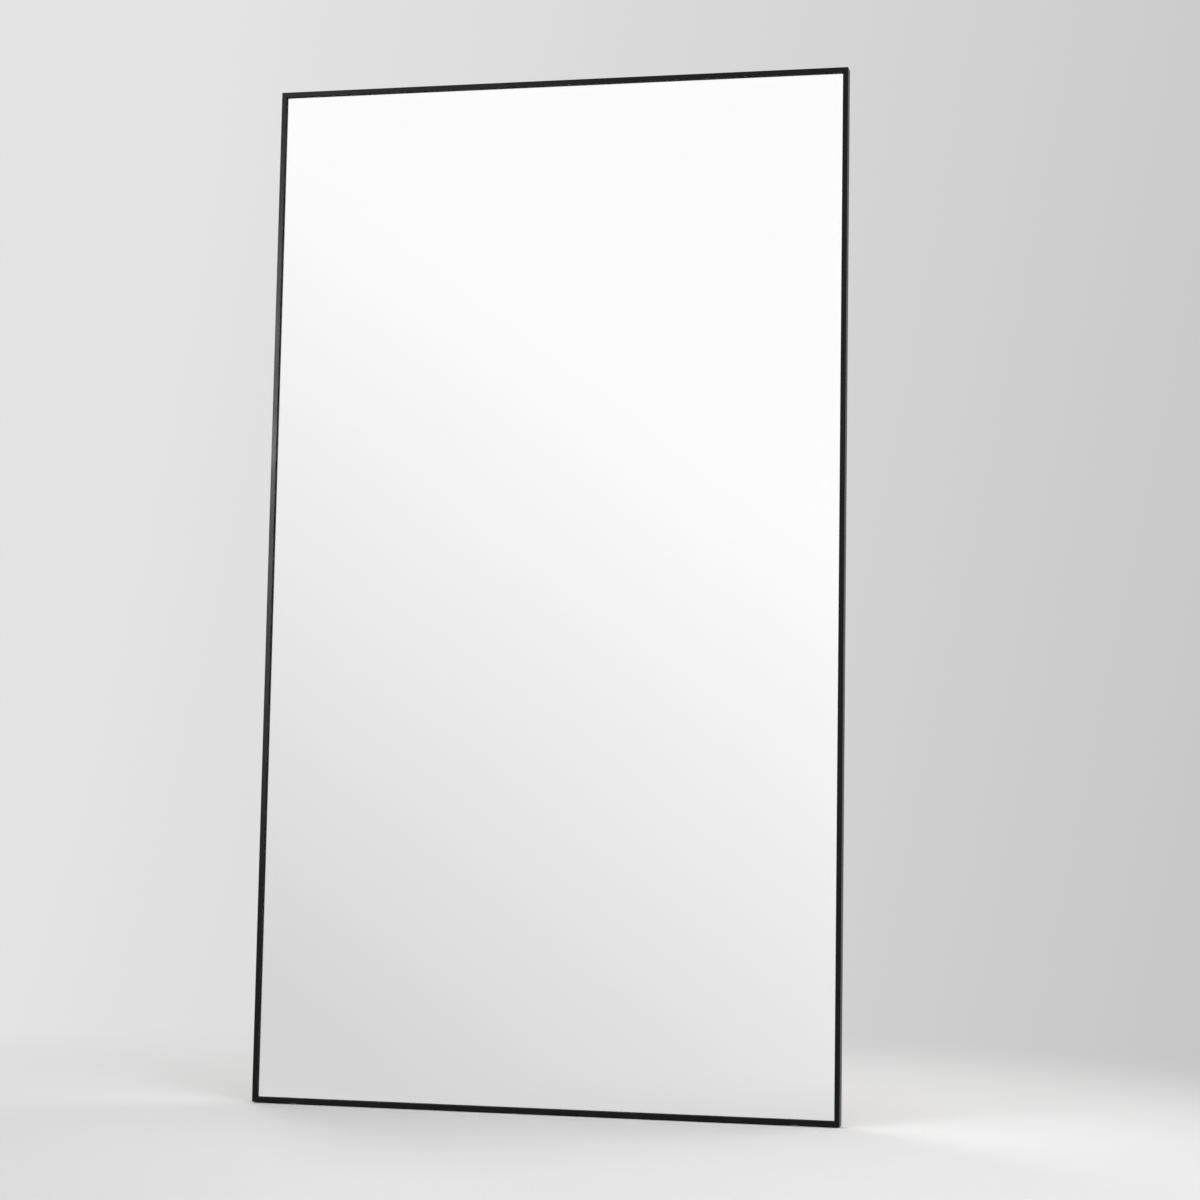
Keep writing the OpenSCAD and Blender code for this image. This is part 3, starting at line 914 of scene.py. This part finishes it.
def makeSheenCard(name, look):
    half = look["size"] / 2
    mesh = bpy.data.meshes.new(name)
    corners = [(-half, -half, 0), (-half, half, 0), (half, half, 0), (half, -half, 0)]
    mesh.from_pydata(corners, [], [(0, 1, 2, 3)])
    material = bpy.data.materials.new(name)
    material.use_nodes = True
    tree = material.node_tree
    sharp = addNode(tree, "LightPath").outputs["Is Singular Ray"]
    glow = addNode(tree, "Emission", {"Strength": look["strength"]}).outputs[0]
    through = addNode(tree, "BsdfTransparent").outputs[0]
    choice = addNode(tree, "MixShader", {0: sharp, 1: glow, 2: through})
    tree.links.new(choice.outputs[0], tree.nodes["Material Output"].inputs["Surface"])
    mesh.materials.append(material)
    card = bpy.data.objects.new(name, mesh)
    card.visible_camera = False
    card.visible_diffuse = False
    card.visible_transmission = False
    card.visible_shadow = False
    aimAt(card, look["at"], look["aim"])


for name, look in sheenCards.items():
    makeSheenCard(name, look)
print("sheen cards placed:", len(sheenCards))


# Rays that come by way of metal or glass
def mirroredRays(tree):
    rays = addNode(tree, "LightPath").outputs
    return calc(tree, "MAXIMUM", rays["Is Glossy Ray"], rays["Is Transmission Ray"])


# All rays that see the studio as it looks, and not as it lights
def seenRays(tree):
    return calc(tree, "MAXIMUM", addNode(tree, "LightPath").outputs["Is Camera Ray"], mirroredRays(tree))


def makeWorld():
    world = bpy.data.worlds.new("studio")
    world.use_nodes = True
    scene.world = world
    tree = world.node_tree
    direction = addNode(tree, "TexCoord").outputs["Generated"]
    behind = calc(tree, "DIVIDE", axes(tree, direction)["Y"], studio["turn"])
    tone = useGroup(tree, studioTone, Direction=direction, Behind=behind)["Tone"]
    plain = studio["plainLight"]
    color = mixColor(tree, seenRays(tree), (plain, plain, plain, 1), tone)
    tree.links.new(color, tree.nodes["Background"].inputs["Color"])


makeWorld()


# Pale floor. Away from the mirror it glows in the tone of the room, so that no edge shows. Where glass or
# metal shows the floor, it does so close to the mirror too.
floorLook = {
    # left and right: the floor's own colour is painted darker on the left and lighter on the right, painted shade
    # passing into painted light
    "left": (0.745, 0.745, 0.745, 1), "right": (0.845, 0.845, 0.845, 1), "slope": (-0.9, 0.9),
    "cloudSize": 1.3, "cloudDetail": 4.0, "clouds": (0.96, 1.0), "roughness": 0.9, "reach": 400.0,
    "blend": (0.7, 2.3),  # metres from the middle of the mirror between which the room's tone comes in
    "mirroredBlend": (0.03, 0.15),  # the same as glass and metal show it, in metres to the front or back
    "eye": (1.24, 5.08, 0.59),  # metres to the right, to the front and up
    "bend": 0.8,  # metres in which the front of the room passes into the back close to the mirror
}


# Tone of the room beyond each place, or beyond its mirror image if it is in front, as the eye sees it
def floorTone(tree, where, distance):
    eye = floorLook["eye"]
    beyond = vectorCalc(tree, "ADD", vectorCalc(tree, "ABSOLUTE", where), eye)
    direction = addNode(tree, "CombineXYZ", {
        "X": calc(tree, "SUBTRACT", axes(tree, where)["X"], eye[0]),
        "Y": axes(tree, beyond)["Y"],
        "Z": -eye[2],
    }).outputs[0]
    spread = calc(tree, "MULTIPLY_ADD", distance, studio["turn"], floorLook["bend"])
    behind = calc(tree, "DIVIDE", axes(tree, where)["Y"], spread)
    return useGroup(tree, studioTone, Direction=direction, Behind=behind)["Tone"]


def makeFloor():
    look = floorLook
    reach = look["reach"]
    mesh = bpy.data.meshes.new("floor")
    corners = [(-reach, -reach, 0), (reach, -reach, 0), (reach, reach, 0), (-reach, reach, 0)]
    mesh.from_pydata(corners, [], [(0, 1, 2, 3)])
    floor = bpy.data.objects.new("floor", mesh)
    scene.collection.objects.link(floor)
    plain = {"Roughness": look["roughness"], "Specular IOR Level": 0.0}
    material, tree, shader, where = newFinish("paleFloor", plain)
    # Painted shade and light: the floor's colour runs from darker on the left to lighter on the right
    slope = remap(tree, axes(tree, where)["X"], *look["slope"], smooth=True)
    paintedLightAndShade = mixColor(tree, slope, look["left"], look["right"])
    clouds = noise(tree, where, look["cloudSize"], look["cloudDetail"])
    clouds = remap(tree, clouds, *noiseRange, *look["clouds"])
    feed(tree, shader, Base_Color=mixColor(tree, 1.0, paintedLightAndShade, clouds, "MULTIPLY"))
    distance = vectorCalc(tree, "LENGTH", where)
    far = remap(tree, distance, *look["blend"], smooth=True)
    fromMirror = calc(tree, "ABSOLUTE", axes(tree, where)["Y"])
    near = remap(tree, fromMirror, *look["mirroredBlend"], smooth=True)
    far = calc(tree, "MULTIPLY", far, seenRays(tree))
    near = calc(tree, "MULTIPLY", near, mirroredRays(tree))
    glow = addNode(tree, "Emission", {"Color": floorTone(tree, where, distance)}).outputs[0]
    share = calc(tree, "MAXIMUM", far, near)
    blend = addNode(tree, "MixShader", {0: share, 1: shader.outputs[0], 2: glow})
    tree.links.new(blend.outputs[0], tree.nodes["Material Output"].inputs["Surface"])
    mesh.materials.append(material)


makeFloor()
scene.view_settings.view_transform = "Standard"
print("floor and room made")
